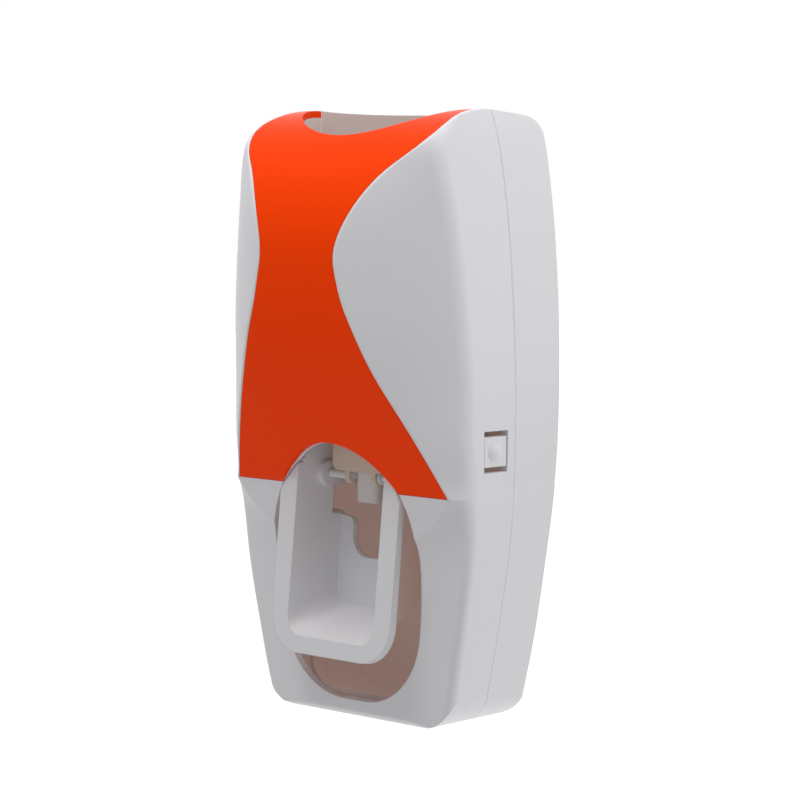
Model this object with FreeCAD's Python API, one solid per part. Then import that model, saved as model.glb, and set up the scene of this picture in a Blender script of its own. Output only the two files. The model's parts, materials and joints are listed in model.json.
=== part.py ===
# Wall-hung toothpaste dispenser: a tube stands neck down behind a front cover,
# and a brush pushed into the lever's cup squeezes a drop of paste onto its bristles.
# Millimetres, +Z up, front towards -Y, mirror plane X = 0.
# The outside is worked out from the base of the body, and moved at the end,
# so that the origin is the middle of the face that sticks to the wall.

import FreeCAD
import Part
import math
import os

Vector = FreeCAD.Vector

# Body: side profile, from the base upwards
BASE_FRONT_Y = 5.2
CREST_Y = -15.0
CREST_Z = 118.5
KNEE_DROP = 58.0
BELLY_RADIUS = 95.0
BELLY_ANGLE = 20.3
SHOULDER_RADIUS = 43.7
SHOULDER_ANGLE = 46.0
BROW_RADIUS = 29.0
ROOF_SLOPE = 7.5
BACK_Y = 36.5
SEAM_Y = 20.4
SEAM_GAP = 0.25
FRONT_BASE_RADIUS = 2.4
REAR_BASE_RADIUS = 4.0
REAR_TOP_RADIUS = 5.0

# Body: level sections
SECTION_MARGIN = 1.93
HALF_WIDTH = 44.2
FACET_RADIUS = 55.9
FACET_CENTRE_Y = 38.9
CORNER_RADIUS = 6.0
BACK_CORNER_RADIUS = 4.0
SIDE_TAPER_FRONT_Y = 6.0
FOOT_FRONT_HALF_WIDTH = 24.2
FOOT_REAR_HALF_WIDTH = 20.0
FOOT_RADIUS = 13.0
FOOT_ANGLE = 76.0
LEAST_RADIUS = 0.3
INNER_CORNER_RADIUS = 1.5
LOFT_DEGREE = 3
OVERRUN = 10.0

# Sections above the facets' foot: height, front width, back width, facet radius and
# facet centre, as shares of body height, half width, facet radius and centre
UPPER_SECTION_SHARES = (
    (0.3778, 1.004, 0.950, 1.108, 1.200),
    (0.4240, 1.006, 0.965, 1.120, 1.223),
    (0.4700, 1.006, 0.977, 1.130, 1.229),
    (0.5160, 1.003, 0.983, 1.080, 1.136),
    (0.5625, 0.998, 0.986, 1.034, 1.049),
    (0.6440, 0.980, 0.982, 1.009, 1.000),
    (0.7250, 0.959, 0.966, 1.003, 1.000),
    (0.8000, 0.930, 0.943, 0.995, 1.005),
    (0.8690, 0.891, 0.910, 1.050, 1.130),
    (0.9250, 0.853, 0.873, 1.200, 1.422),
    (0.9600, 0.820, 0.836, 1.212, 1.538),
    (0.9960, 0.770, 0.782, 1.215, 1.710),
)
# Sections below it, down past the base: height, front width, back width, front radius,
# corner radius and the corner's setback, the last two as shares of the upper corner
LOWER_SECTION_SHARES = (
    (-0.020, 0.740, 0.640, 8.0, 0.40, 0.12),
    (0.075, 0.838, 0.733, 8.0, 0.40, 0.16),
    (0.150, 0.894, 0.801, 8.0, 0.40, 0.24),
    (0.225, 0.948, 0.855, 7.0, 0.40, 0.34),
    (0.300, 0.988, 0.905, 4.0, 0.50, 0.42),
)

# Walls and the coloured plate
WALL = 2.0
PLATE_THICKNESS = 1.8
PLATE_BED = 1.4
PLATE_CLEARANCE = 0.12
PLATE_LIP = 0.8
PLATE_TOP_HALF_WIDTH = 31.2
PLATE_BROW_HALF_WIDTH = 35.3
PLATE_BROW_Y = 1.2
PLATE_EDGE_HEIGHT_SHARES = (0.03, 0.11, 0.22, 0.32, 0.42, 0.50, 0.56, 0.60, 0.64, 0.69, 0.76, 0.83, 0.88, 0.925)
PLATE_PEG_RADIUS = 1.5
PLATE_PEG_LENGTH = 2.4
PLATE_PEG_X = 21.0
PLATE_PEG_Z = 76.0

# Front opening
ARCH_TOP_Z = 72.5
ARCH_RADIUS = 26.0
ARCH_SIDE_RADIUS = 30.0
OPENING_HALF_WIDTH = 27.6
OPENING_SIDE_RADIUS = 120.0
OPENING_CORNER_RADIUS = 22.0
OPENING_BOTTOM_Z = 4.7

# Tube slot in the roof
SLOT_HALF_WIDTH = 29.4
SLOT_FRONT_DEPTH = 20.2
SLOT_REAR_DEPTH = 10.0
COLLAR_WALL = 1.6
COLLAR_DROP = 14.0

# Seam lip of the rear housing
LIP_WALL = 1.0
LIP_LENGTH = 2.0
LIP_CLEARANCE = 0.35

# Side latches
LATCH_WINDOW_FRONT_Y = 8.8
LATCH_WINDOW_REAR_Y = 17.4
LATCH_WINDOW_BOTTOM_Z = 66.9
LATCH_WINDOW_TOP_Z = 77.3
LATCH_SLOT = 1.35
LATCH_END_GAP = 0.45
LATCH_DOME_RADIUS = 2.6
LATCH_DOME_HEIGHT = 0.9
LATCH_DOME_Y = 12.6

# Push lever
PIVOT_Y = 9.5
PIVOT_Z = 62.8
LEVER_TILT = 5.7
RIM_OFFSET = 9.2
RIM_HALF_WIDTH = 22.9
RIM_DROP = 47.4
RIM_RADIUS = 10.5
RIM_THICKNESS = 2.0
CUP_HALF_WIDTH = 16.5
CUP_REAR_HALF_WIDTH = 14.3
CUP_DROP = 42.8
CUP_REAR_DROP = 34.1
CUP_RADIUS = 5.0
CUP_DEPTH = 14.4
CUP_WALL = 1.8
LEVER_RISE = 9.5
CUTOUT_HALF_WIDTH = 9.2
CUTOUT_DROP = 21.4
CUTOUT_RADIUS = 6.0
CUTOUT_STEP_DROP = 11.0
CUTOUT_BEND_RADIUS = 2.5
NOTCH_RADIUS = 6.0
NOTCH_DEPTH = 2.8
BOSS_RADIUS = 3.4
BOSS_LENGTH = 1.4
LEVER_OPENING_CLEARANCE = 0.5
CAM_ARM_REACH = 11.0
CAM_ARM_RISE = 4.0
CAM_ARM_OUTER_X = 16.4
CAM_ARM_THICKNESS = 2.2
LEVER_SWING = 16.0
CAM_TIP_RADIUS = 1.6

# Pivot pins
PIN_RADIUS = 1.1
PIN_CLEARANCE = 0.06
PIN_OUTER_X = 16.2
PIN_COLLAR_RADIUS = 1.7
PIN_COLLAR_LENGTH = 1.0
EAR_INNER_X = 4.2
EAR_THICKNESS = 1.6
EAR_RADIUS = 2.3

# Nozzle block and outlet
BLOCK_HALF_WIDTH = 9.5
BLOCK_FRONT_Y = 6.2
BLOCK_DEPTH = 8.2
BLOCK_BOTTOM_Z = 64.2
BLOCK_RADIUS = 2.0
DUCT_RADIUS = 2.4
SPOUT_Y = 11.0
SPOUT_HALF_WIDTH = 4.0
SPOUT_HALF_DEPTH = 1.9
SPOUT_DROP = 8.2
SPOUT_BORE_HALF_WIDTH = 2.6
SPOUT_BORE_HALF_DEPTH = 0.9
FLAT_ROUND_SHARE = 0.8

# Pump
SHELF_TOP_Z = 82.0
SHELF_THICKNESS = 2.0
MANIFOLD_HEIGHT = 6.0
MANIFOLD_HALF_WIDTH = 20.0
MANIFOLD_FRONT_Y = 4.5
MANIFOLD_RADIUS = 4.0
BELLOWS_Y = 22.0
BELLOWS_RADIUS = 6.6
BELLOWS_FOLD = 1.3
BELLOWS_WALL = 0.9
BELLOWS_COUNT = 3
SPIGOT_RADIUS = 2.4
SPIGOT_LENGTH = 2.2
YOKE_THICKNESS = 2.4
YOKE_DISC_RADIUS = 7.0
YOKE_HALF_WIDTH = 19.6
YOKE_HALF_DEPTH = 3.0
YOKE_CLEARANCE = 0.3
GUIDE_X = 14.0
GUIDE_RADIUS = 1.5
GUIDE_CLEARANCE = 0.08
GUIDE_REACH = 2.0
SPRING_RADIUS = 2.9
SPRING_WIRE_RADIUS = 0.35
SPRING_SEAT_GAP = 0.05
VALVE_RADIUS = 3.2
VALVE_THICKNESS = 0.8

# Tube socket
SOCKET_Y = 13.0
SOCKET_RADIUS = 12.0
SOCKET_BORE_RADIUS = 9.6
SOCKET_HEIGHT = 12.0
SEAL_CLEARANCE = 0.05
SEAL_BORE_RADIUS = 6.4
SEAL_LIP_RADIUS = 5.6
SEAL_LIP_HEIGHT = 1.4
SEAL_LIP_COUNT = 3
PASTE_BORE_RADIUS = 3.0
RING_WALL = 1.8
RING_HEIGHT = 8.0
RING_TOP = 1.6
RING_BORE_RADIUS = 8.2
RING_RIB_COUNT = 12
RING_RIB_RADIUS = 0.7

# Chassis
CHASSIS_THICKNESS = 2.0
CHASSIS_BACK_Y = 31.7
CHASSIS_HALF_WIDTH = 26.0
CHASSIS_BOTTOM_Z = 62.0
CHASSIS_TOP_Z = 104.0
CHASSIS_RADIUS = 4.0
GUSSET_X = 23.0
GUSSET_THICKNESS = 1.8
FIT_GAP = 0.3
SCREW_X = 17.0
SCREW_INSET = 6.0
SCREW_RADIUS = 1.4
SCREW_HOLE_CLEARANCE = 0.2
SCREW_HEAD_RADIUS = 2.6
SCREW_HEAD_HEIGHT = 1.6
SCREW_LENGTH = 6.0
CROSS_WIDTH = 0.7
CROSS_LENGTH = 2.8
CROSS_DEPTH = 0.8
POST_RADIUS = 3.4
MANIFOLD_SCREW_X = 16.5
MANIFOLD_SCREW_FRONT_Y = 9.0
MANIFOLD_SCREW_REAR_Y = 26.0
MANIFOLD_SCREW_LENGTH = 7.6
PILOT_CLEARANCE = 0.05

# Wall bracket and its keyholes
KEYHOLE_X = 18.0
KEYHOLE_Z = 112.0
KEYHOLE_HEAD_RADIUS = 4.6
KEYHOLE_NECK_RADIUS = 2.3
KEYHOLE_TRAVEL = 9.0
STUD_HEAD_RADIUS = 4.0
STUD_NECK_RADIUS = 2.0
STUD_HEAD_THICKNESS = 1.6
STUD_CLEARANCE = 0.3
BRACKET_GAP = 0.4
BRACKET_THICKNESS = 2.2
BRACKET_HALF_WIDTH = 27.0
BRACKET_BOTTOM_Z = 52.0
BRACKET_TOP_Z = 128.0
BRACKET_RADIUS = 7.0
BRACKET_COUNTERBORE_RADIUS = 4.2
BRACKET_COUNTERBORE_DEPTH = 1.2
BRACKET_SCREW_SPACING = 60.0
BRACKET_HOLE_RADIUS = 2.2
PAD_THICKNESS = 1.0
PAD_HALF_WIDTH = 20.0
PAD_HEIGHT = 46.0
PAD_RADIUS = 2.0

# Worked out from the sizes above
BROW_RISE = (SHOULDER_RADIUS - BROW_RADIUS) * math.sin(math.radians(SHOULDER_ANGLE)) + BROW_RADIUS
BODY_HEIGHT = CREST_Z + BROW_RISE + SECTION_MARGIN
COLLAR_BOTTOM_Z = BODY_HEIGHT - COLLAR_DROP
LIMIT = BODY_HEIGHT
COVER_REAR_Y = SEAM_Y - SEAM_GAP
SKIN = PLATE_THICKNESS + PLATE_BED
MANIFOLD_TOP_Z = SHELF_TOP_Z + MANIFOLD_HEIGHT
SOCKET_TOP_Z = MANIFOLD_TOP_Z + SOCKET_HEIGHT
CHASSIS_FRONT_Y = CHASSIS_BACK_Y - CHASSIS_THICKNESS
YOKE_BOTTOM_Z = PIVOT_Z + CAM_ARM_RISE + YOKE_CLEARANCE
YOKE_TOP_Z = YOKE_BOTTOM_Z + YOKE_THICKNESS
YOKE_Y = PIVOT_Y + CAM_ARM_REACH
BRACKET_FRONT_Y = BACK_Y + BRACKET_GAP
BRACKET_BACK_Y = BRACKET_FRONT_Y + BRACKET_THICKNESS
WALL_FACE_Y = BRACKET_BACK_Y + PAD_THICKNESS
BRACKET_MIDDLE_Z = (BRACKET_BOTTOM_Z + BRACKET_TOP_Z) / 2
X_AXIS = Vector(1, 0, 0)
Y_AXIS = Vector(0, 1, 0)
Z_AXIS = Vector(0, 0, 1)


# Outlines in the three views
def place(view, a, b, depth=0.0):
    """A point given in a view: front (x, z), side (y, z) or plan (x, y)."""
    if view == "front":
        return Vector(a, depth, b)
    if view == "side":
        return Vector(depth, a, b)
    return Vector(a, b, depth)


def normal_of(view):
    return {"front": Y_AXIS, "side": X_AXIS, "plan": Z_AXIS}[view]


def line(view, start, end, depth=0.0):
    return Part.LineSegment(place(view, *start, depth), place(view, *end, depth)).toShape()


def on_circle(centre, radius, angle):
    return (centre[0] + radius * math.cos(math.radians(angle)),
            centre[1] + radius * math.sin(math.radians(angle)))


def arc(view, centre, radius, first, last, depth=0.0):
    """An arc from one angle in degrees to another."""
    corners = [on_circle(centre, radius, angle) for angle in (first, (first + last) / 2, last)]
    return Part.Arc(*[place(view, *corner, depth) for corner in corners]).toShape()


def prism(view, edges, low, high):
    """The outline drawn at depth zero, extruded from one depth to the other."""
    face = Part.Face(Part.Wire(edges))
    normal = normal_of(view)
    face.translate(normal * low)
    return face.extrude(normal * (high - low))


def rounded_edges(view, low_a, high_a, low_b, high_b, radius):
    """A rectangle with four round corners."""
    left, right = low_a + radius, high_a - radius
    bottom, top = low_b + radius, high_b - radius
    return [
        line(view, (left, low_b), (right, low_b)),
        arc(view, (right, bottom), radius, -90, 0),
        line(view, (high_a, bottom), (high_a, top)),
        arc(view, (right, top), radius, 0, 90),
        line(view, (right, high_b), (left, high_b)),
        arc(view, (left, top), radius, 90, 180),
        line(view, (low_a, top), (low_a, bottom)),
        arc(view, (left, bottom), radius, 180, 270),
    ]


def polygon(view, corners, low, high):
    ends = corners[1:] + corners[:1]
    return prism(view, [line(view, a, b) for a, b in zip(corners, ends)], low, high)


def box(low_x, high_x, low_y, high_y, low_z, high_z):
    size = (high_x - low_x, high_y - low_y, high_z - low_z)
    return Part.makeBox(*size, Vector(low_x, low_y, low_z))


def rod(radius, start, direction, length):
    return Part.makeCylinder(radius, length, start, direction)


def cross(start, end):
    """Where two lines meet: each is a point and a direction."""
    (px, py), (dx, dy) = start
    (qx, qy), (ex, ey) = end
    along = ((qx - px) * ey - (qy - py) * ex) / (dx * ey - dy * ex)
    return (px + dx * along, py + dy * along)


def flip(point):
    return (-point[0], point[1])


def both_sides(shape):
    return shape.fuse(mirror(shape))


def mirror(shape):
    return shape.mirror(Vector(0, 0, 0), X_AXIS)


def join(shapes):
    return shapes[0].multiFuse(shapes[1:]).removeSplitter()


# The body's outside and the offsets of it
def belly_line(inset):
    """The straight run under the belly's arc, as a point and a direction."""
    centre = (CREST_Y + BELLY_RADIUS, CREST_Z)
    start = on_circle(centre, BELLY_RADIUS - inset, 180 + BELLY_ANGLE)
    return start, (-math.sin(math.radians(BELLY_ANGLE)), math.cos(math.radians(BELLY_ANGLE)))


def outer_knee():
    """Where that run ends on the outside, at the top of the flat lower front."""
    start, direction = belly_line(0.0)
    height = CREST_Z - KNEE_DROP
    return start[0] + direction[0] * (height - start[1]) / direction[1], height


def base_line(inset):
    """The flat lower front, as a point and a direction."""
    knee = outer_knee()
    length = math.hypot(knee[0] - BASE_FRONT_Y, knee[1])
    direction = ((knee[0] - BASE_FRONT_Y) / length, knee[1] / length)
    return (BASE_FRONT_Y + direction[1] * inset, -direction[0] * inset), direction


def foot_depth(height):
    """How far forward the flat lower front stands at a height."""
    knee = outer_knee()
    return BASE_FRONT_Y + (knee[0] - BASE_FRONT_Y) * height / knee[1]


def profile_knee(low_inset=0.0, high_inset=0.0):
    """Where the flat lower front meets the belly."""
    return cross(base_line(low_inset), belly_line(high_inset))


def front_depth(height):
    """How far forward the outside profile stands at a height."""
    if height < outer_knee()[1]:
        return foot_depth(height)
    start = belly_line(0.0)[0]
    if height < start[1]:
        return start[0] + (start[1] - height) * math.tan(math.radians(BELLY_ANGLE))
    radius = BELLY_RADIUS if height < CREST_Z else SHOULDER_RADIUS
    return CREST_Y + radius - math.sqrt(radius ** 2 - (height - CREST_Z) ** 2)


def body_profile(low_inset=0.0, high_inset=0.0, edge_inset=0.0):
    """The side profile as a solid across the whole width, set in by the insets:
    low for the flat lower front, high for belly and roof, edge for back and base."""
    knee = profile_knee(low_inset, high_inset)
    belly_start = belly_line(high_inset)[0]
    belly_centre = (CREST_Y + BELLY_RADIUS, CREST_Z)
    shoulder_centre = (CREST_Y + SHOULDER_RADIUS, CREST_Z)
    brow_angle = 180 - SHOULDER_ANGLE
    brow_centre = on_circle(shoulder_centre, SHOULDER_RADIUS - BROW_RADIUS, brow_angle)
    roof_angle = 90 - ROOF_SLOPE
    roof_start = on_circle(brow_centre, BROW_RADIUS - high_inset, roof_angle)
    roof_direction = (math.cos(math.radians(-ROOF_SLOPE)), math.sin(math.radians(-ROOF_SLOPE)))
    top_radius = REAR_TOP_RADIUS - edge_inset
    back = BACK_Y - edge_inset
    lowered = on_circle(roof_start, top_radius, roof_angle - 180)
    top_centre = cross((lowered, roof_direction), ((back - top_radius, 0), (0, 1)))
    foot_radius = max(REAR_BASE_RADIUS - edge_inset, LEAST_RADIUS)
    toe_point, toe_direction = base_line(low_inset)
    toe_radius = max(FRONT_BASE_RADIUS - edge_inset, LEAST_RADIUS)
    inner = (toe_point[0] + toe_direction[1] * toe_radius, toe_point[1] - toe_direction[0] * toe_radius)
    toe_centre = cross((inner, toe_direction), ((0, edge_inset + toe_radius), (1, 0)))
    toe_angle = 180 + math.degrees(math.atan2(-toe_direction[0], toe_direction[1]))
    toe_end = on_circle(toe_centre, toe_radius, toe_angle)
    roof_end = on_circle(top_centre, top_radius, roof_angle)
    edges = [
        line("side", toe_end, knee),
        line("side", knee, belly_start),
        arc("side", belly_centre, BELLY_RADIUS - high_inset, 180 + BELLY_ANGLE, 180),
        arc("side", shoulder_centre, SHOULDER_RADIUS - high_inset, 180, brow_angle),
        arc("side", brow_centre, BROW_RADIUS - high_inset, brow_angle, roof_angle),
        line("side", roof_start, roof_end),
        arc("side", top_centre, top_radius, roof_angle, 0),
        line("side", (back, top_centre[1]), (back, edge_inset + foot_radius)),
        arc("side", (back - foot_radius, edge_inset + foot_radius), foot_radius, 0, -90),
        line("side", (back - foot_radius, edge_inset), (toe_centre[0], edge_inset)),
        arc("side", toe_centre, toe_radius, 270, toe_angle),
    ]
    return prism("side", edges, -LIMIT, LIMIT)


def upper_section(shares, inset):
    """A level section through belly or roof, where the facets are part of a round column."""
    height, front, back, radius, centre = shares
    widths = (front * HALF_WIDTH, back * HALF_WIDTH)
    return body_section(height * BODY_HEIGHT, widths, radius * FACET_RADIUS, centre * FACET_CENTRE_Y,
                        CORNER_RADIUS, inset)


def lower_section(shares, inset):
    """A level section through the foot, where the front is almost flat between tight corners."""
    height, front, back, radius, corner, setback = shares
    corner *= CORNER_RADIUS
    run = radius * FACET_RADIUS - corner
    reach = front * HALF_WIDTH - corner
    face = foot_depth(height * BODY_HEIGHT) + setback * CORNER_RADIUS
    centre = face + corner + math.sqrt(run ** 2 - reach ** 2)
    widths = (front * HALF_WIDTH, back * HALF_WIDTH)
    return body_section(height * BODY_HEIGHT, widths, radius * FACET_RADIUS, centre, corner, inset)


def body_section(height, widths, radius, centre_y, corner, inset):
    """A level section: the curved front, round corners, slightly tapered sides and the back."""
    front_width, back_width = widths
    centre = (0, centre_y)
    radius -= inset
    corner = max(corner - inset, INNER_CORNER_RADIUS)
    back_corner = max(BACK_CORNER_RADIUS - inset, INNER_CORNER_RADIUS)
    back = BACK_Y + OVERRUN * (inset == 0)
    run = math.hypot(front_width - back_width, BACK_Y - SIDE_TAPER_FRONT_Y)
    along = ((front_width - back_width) / run, -(BACK_Y - SIDE_TAPER_FRONT_Y) / run)
    outward = (-along[1], along[0])
    start = (back_width - outward[0] * inset, BACK_Y - outward[1] * inset)
    inner = (start[0] - outward[0] * corner, start[1] - outward[1] * corner - centre[1])
    reach = radius - corner
    half = inner[0] * along[0] + inner[1] * along[1]
    step = -half + math.sqrt(half ** 2 - (inner[0] ** 2 + inner[1] ** 2 - reach ** 2))
    corner_centre = (inner[0] + along[0] * step, inner[1] + along[1] * step + centre[1])
    side_angle = math.degrees(math.atan2(outward[1], outward[0]))
    front_angle = math.degrees(math.atan2(corner_centre[1] - centre[1], corner_centre[0]))
    level = back - back_corner
    slide = (level - start[1] + outward[1] * back_corner) / along[1]
    back_centre = (start[0] + along[0] * slide - outward[0] * back_corner, level)

    side_front = on_circle(corner_centre, corner, side_angle)
    side_back = on_circle(back_centre, back_corner, side_angle)
    edges = [
        arc("plan", centre, radius, -180 - front_angle, front_angle, height),
        arc("plan", corner_centre, corner, front_angle, side_angle, height),
        line("plan", side_front, side_back, height),
        arc("plan", back_centre, back_corner, side_angle, 90, height),
        line("plan", (back_centre[0], back), (-back_centre[0], back), height),
        arc("plan", flip(back_centre), back_corner, 90, 180 - side_angle, height),
        line("plan", flip(side_back), flip(side_front), height),
        arc("plan", flip(corner_centre), corner, 180 - side_angle, 180 - front_angle, height),
    ]
    return Part.Wire(edges)


def body_envelope(inset=0.0):
    """The two lofts that give the body its waisted sides and curved facets."""
    above = [upper_section(row, inset) for row in UPPER_SECTION_SHARES]
    below = [lower_section(row, inset) for row in LOWER_SECTION_SHARES] + above[:1]
    lofts = [Part.makeLoft(wires, True, False, False, LOFT_DEGREE) for wires in (above, below)]
    return lofts[0].fuse(lofts[1])


def foot_wire(half_width, depth, inset):
    """The front view of the foot at a depth, carried up past the roof."""
    radius = FOOT_RADIUS - inset
    centre = (half_width, FOOT_RADIUS)
    end_angle = FOOT_ANGLE - 90
    side = on_circle(centre, radius, end_angle)
    top = (side[0] + (LIMIT - side[1]) / math.tan(math.radians(FOOT_ANGLE)), LIMIT)
    return Part.Wire([
        line("front", (-half_width, inset), (half_width, inset), depth),
        arc("front", centre, radius, -90, end_angle, depth),
        line("front", side, top, depth),
        line("front", top, (-top[0], top[1]), depth),
        line("front", (-top[0], top[1]), (-side[0], side[1]), depth),
        arc("front", (-centre[0], centre[1]), radius, 180 - end_angle, 270, depth),
    ])


def foot_form(inset=0.0):
    """What rounds the body's bottom edges: the foot narrows towards the wall."""
    taper = (FOOT_REAR_HALF_WIDTH - FOOT_FRONT_HALF_WIDTH) / (BACK_Y - BASE_FRONT_Y)
    ahead = FOOT_FRONT_HALF_WIDTH + taper * (CREST_Y - OVERRUN - BASE_FRONT_Y)
    behind = FOOT_REAR_HALF_WIDTH + taper * OVERRUN
    wires = [foot_wire(ahead, CREST_Y - OVERRUN, inset), foot_wire(behind, BACK_Y + OVERRUN, inset)]
    return Part.makeLoft(wires, True, True)


def body_solid(side_inset=0.0, low_inset=0.0, high_inset=0.0):
    shape = body_envelope(side_inset).common(body_profile(low_inset, high_inset, side_inset))
    return shape.common(foot_form(side_inset))


def front_opening(inset=0.0):
    """The arch over the lever and the oval below it, cut straight back."""
    arch_centre = (0, ARCH_TOP_Z - ARCH_RADIUS)
    step = (ARCH_SIDE_RADIUS - OPENING_HALF_WIDTH) / (ARCH_SIDE_RADIUS - ARCH_RADIUS)
    bend = 90 - math.degrees(math.asin(step))
    shoulder = on_circle(arch_centre, ARCH_RADIUS - ARCH_SIDE_RADIUS, bend)
    side = (OPENING_HALF_WIDTH - OPENING_SIDE_RADIUS, shoulder[1])
    corner_z = OPENING_BOTTOM_Z + OPENING_CORNER_RADIUS
    reach = OPENING_SIDE_RADIUS - OPENING_CORNER_RADIUS
    corner = (side[0] + math.sqrt(reach ** 2 - (side[1] - corner_z) ** 2), corner_z)
    low = math.degrees(math.atan2(corner[1] - side[1], corner[0] - side[0]))
    corner_radius = OPENING_CORNER_RADIUS - inset
    floor = corner_z - corner_radius

    edges = [
        line("front", (-corner[0], floor), (corner[0], floor)),
        arc("front", corner, corner_radius, -90, low),
        arc("front", side, OPENING_SIDE_RADIUS - inset, low, 0),
        arc("front", shoulder, ARCH_SIDE_RADIUS - inset, 0, bend),
        arc("front", arch_centre, ARCH_RADIUS - inset, bend, 180 - bend),
        arc("front", flip(shoulder), ARCH_SIDE_RADIUS - inset, 180 - bend, 180),
        arc("front", flip(side), OPENING_SIDE_RADIUS - inset, 180, 180 - low),
        arc("front", flip(corner), corner_radius, 180 - low, 270),
    ]
    return prism("front", edges, -LIMIT, SEAM_Y)


def half_ellipse(depth, grow, low, high):
    """Half of the tube slot: in front of the seam for a negative depth, else behind it."""
    wide = SLOT_HALF_WIDTH + grow
    deep = abs(depth) + grow
    ellipse = Part.Ellipse(Vector(0, SEAM_Y, 0), wide, deep)
    turn = math.pi if depth < 0 else 0.0
    curve = Part.Arc(ellipse, turn, turn + math.pi).toShape()
    ends = [vertex.Point for vertex in curve.Vertexes]
    face = Part.Face(Part.Wire([curve, Part.LineSegment(ends[-1], ends[0]).toShape()]))
    face.translate(Z_AXIS * low)
    return face.extrude(Z_AXIS * (high - low))


def tube_slot():
    front = half_ellipse(-SLOT_FRONT_DEPTH, 0.0, COLLAR_BOTTOM_Z, LIMIT + OVERRUN)
    rear = half_ellipse(SLOT_REAR_DEPTH, 0.0, COLLAR_BOTTOM_Z - OVERRUN, LIMIT + OVERRUN)
    return front, rear


# The cover's side of the body
def ridge_half_width(height):
    """Half the distance between the two ridges where the facets meet the profile."""
    share = height / BODY_HEIGHT
    rows = UPPER_SECTION_SHARES
    low, high = next(pair for pair in zip(rows[:-1], rows[1:]) if share <= pair[1][0])
    part = max(share - low[0], 0) / (high[0] - low[0])
    radius, centre = [low[index] + (high[index] - low[index]) * part for index in (3, 4)]
    depth = centre * FACET_CENTRE_Y - front_depth(height)
    return math.sqrt((radius * FACET_RADIUS) ** 2 - depth ** 2)


def plate_region(grow):
    """The hourglass that the coloured plate fills, seen from the front and from above."""
    knee = outer_knee()[1]
    bottom = knee - grow
    heights = [bottom] + [knee + share * (BODY_HEIGHT - knee) for share in PLATE_EDGE_HEIGHT_SHARES]
    points = [(ridge_half_width(height) - PLATE_LIP + grow, height) for height in heights]
    right = Part.BSplineCurve()
    right.interpolate([place("front", *point) for point in points])
    left = Part.BSplineCurve()
    left.interpolate([place("front", -a, b) for a, b in reversed(points)])
    last = points[-1]
    top = (PLATE_BROW_HALF_WIDTH + grow, LIMIT + OVERRUN)
    edges = [
        line("front", (-points[0][0], bottom), points[0]),
        right.toShape(),
        line("front", last, top),
        line("front", top, (-top[0], top[1])),
        line("front", (-top[0], top[1]), (-last[0], last[1])),
        left.toShape(),
    ]
    hourglass = prism("front", edges, -LIMIT, LIMIT)
    brow = PLATE_BROW_HALF_WIDTH + grow
    seam = PLATE_TOP_HALF_WIDTH + grow
    corners = [(LIMIT, PLATE_BROW_Y), (LIMIT, SEAM_Y), (seam, SEAM_Y), (brow, PLATE_BROW_Y)]
    return hourglass.cut(both_sides(polygon("plan", corners, CREST_Z, LIMIT + OVERRUN)))


def plate_pegs(radius, length):
    """Two pegs on the plate's back, square to the run under the belly."""
    start, direction = belly_line(PLATE_THICKNESS)
    along = (PLATE_PEG_Z - start[1]) / direction[1]
    foot = (start[0] + direction[0] * along, PLATE_PEG_Z)
    inward = Vector(0, direction[1], -direction[0])
    pegs = [rod(radius, Vector(x, *foot), inward, length) for x in (-PLATE_PEG_X, PLATE_PEG_X)]
    return pegs[0].fuse(pegs[1])


def face_plate(body):
    plate = body.common(plate_region(0.0)).cut(body_profile(0.0, PLATE_THICKNESS))
    front, _ = tube_slot()
    plate = plate.cut(front_opening()).cut(front)
    plate = plate.common(box(-LIMIT, LIMIT, -LIMIT, COVER_REAR_Y, 0, LIMIT))
    return plate.fuse(plate_pegs(PLATE_PEG_RADIUS, PLATE_PEG_LENGTH))


def latch_window():
    return box(0, LIMIT, LATCH_WINDOW_FRONT_Y, LATCH_WINDOW_REAR_Y,
               LATCH_WINDOW_BOTTOM_Z, LATCH_WINDOW_TOP_Z)


def front_cover(body, cavity):
    shell = body.common(box(-LIMIT, LIMIT, -LIMIT, COVER_REAR_Y, 0, LIMIT)).cut(cavity)
    recess = plate_region(PLATE_CLEARANCE).cut(body_profile(0.0, PLATE_THICKNESS))
    collar = half_ellipse(-SLOT_FRONT_DEPTH, COLLAR_WALL, COLLAR_BOTTOM_Z, LIMIT).common(body)
    collar = collar.common(box(-LIMIT, LIMIT, -LIMIT, COVER_REAR_Y, 0, LIMIT))
    front, _ = tube_slot()
    shell = join([shell, collar]).cut(recess).cut(front_opening()).cut(front)
    shell = shell.cut(both_sides(latch_window()))
    return shell.cut(plate_pegs(PLATE_PEG_RADIUS + PLATE_CLEARANCE, PLATE_PEG_LENGTH + WALL))


def side_surface(body, y, z):
    """How far out the body's side lies at a point of it."""
    probe = Part.makeLine(Vector(0, y, z), Vector(LIMIT, y, z)).common(body)
    return max(vertex.Point.x for vertex in probe.Vertexes)


def right_latch(body, cavity):
    """A tongue left standing in the cover's side, with a round bump to press."""
    tongue = box(0, LIMIT, LATCH_WINDOW_FRONT_Y, LATCH_WINDOW_REAR_Y - LATCH_END_GAP,
                 LATCH_WINDOW_BOTTOM_Z + LATCH_SLOT, LATCH_WINDOW_TOP_Z - LATCH_SLOT)
    tongue = tongue.common(body).cut(cavity)
    middle_z = (LATCH_WINDOW_BOTTOM_Z + LATCH_WINDOW_TOP_Z) / 2
    surface = side_surface(body, LATCH_DOME_Y, middle_z)
    ball_radius = (LATCH_DOME_RADIUS ** 2 + LATCH_DOME_HEIGHT ** 2) / (2 * LATCH_DOME_HEIGHT)
    ball_x = surface + LATCH_DOME_HEIGHT - ball_radius
    ball = Part.makeSphere(ball_radius, Vector(ball_x, LATCH_DOME_Y, middle_z))
    cap = ball.common(box(surface - WALL / 2, LIMIT, 0, SEAM_Y, 0, LIMIT))
    return tongue.fuse(cap)


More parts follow.
